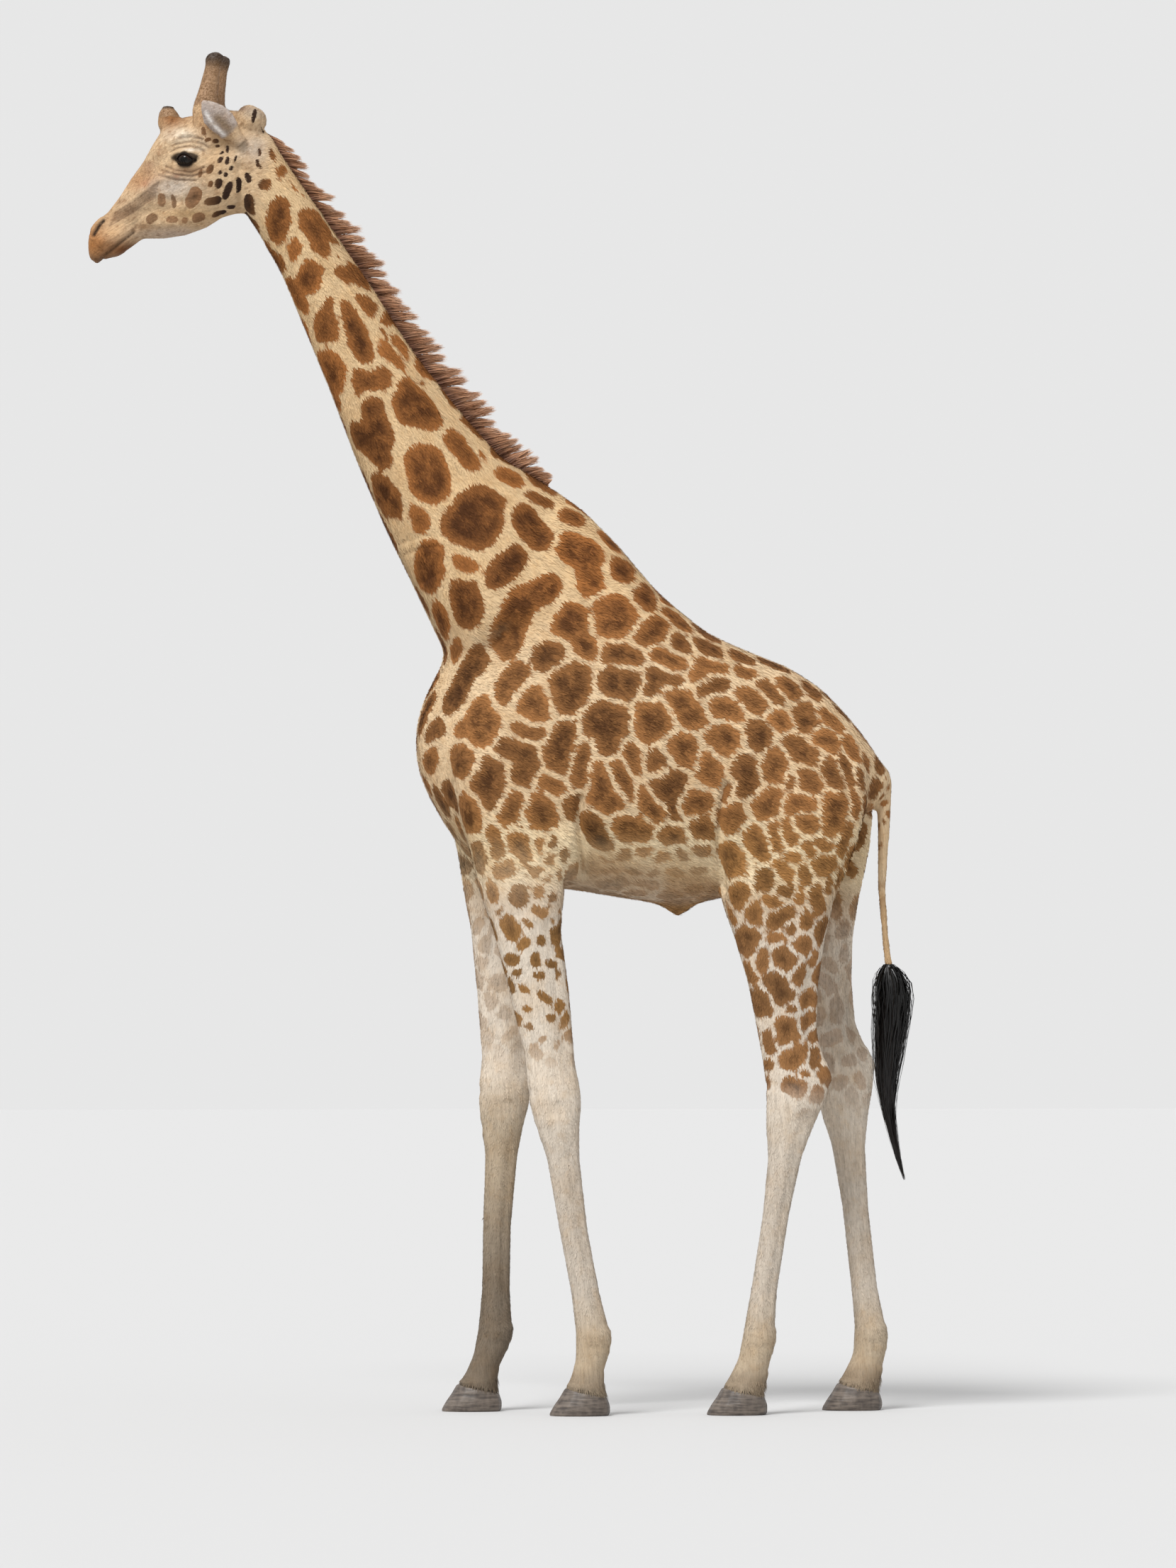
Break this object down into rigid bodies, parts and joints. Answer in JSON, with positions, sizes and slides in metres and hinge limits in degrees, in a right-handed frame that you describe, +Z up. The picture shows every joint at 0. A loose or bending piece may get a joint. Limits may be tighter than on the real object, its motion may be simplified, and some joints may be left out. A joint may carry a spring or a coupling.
{
  "type": "giraffe",
  "caption": "Life-size standing giraffe bull: long sloping neck with a short mane, horned head turned a little aside, slender legs and a tufted tail.",
  "frame": {"origin": "on the floor, under the middle of the animal's box", "axes": "+Z up, the animal faces -X, its left side is -Y"},
  "size_m": [2.7204, 0.61, 4.479],
  "materials": {
    "coat": "short flat hair, brown patches on cream",
    "mane": "stiff upright hair",
    "tail_hair": "long black hair, slightly glossy",
    "horn_skin": "haired skin with dark bald tips",
    "eye": "wet, glossy",
    "hoof": "dull horn"
  },
  "bodies": {
    "root": {"head": "coat", "ear_left": "coat", "ear_right": "coat", "eye_left": "eye", "eye_right": "eye", "ossicone_left": "horn_skin", "ossicone_right": "horn_skin", "ossicone_front": "horn_skin", "neck": "coat", "mane": "mane", "trunk": "coat", "tail": "coat", "tail_tuft": "tail_hair", "leg_front_left": "coat", "leg_front_right": "coat", "leg_hind_left": "coat", "leg_hind_right": "coat", "hoof_front_left_outer": "hoof", "hoof_front_left_inner": "hoof", "hoof_front_right_outer": "hoof", "hoof_front_right_inner": "hoof", "hoof_hind_left_outer": "hoof", "hoof_hind_left_inner": "hoof", "hoof_hind_right_outer": "hoof", "hoof_hind_right_inner": "hoof"}
  },
  "joints": []
}
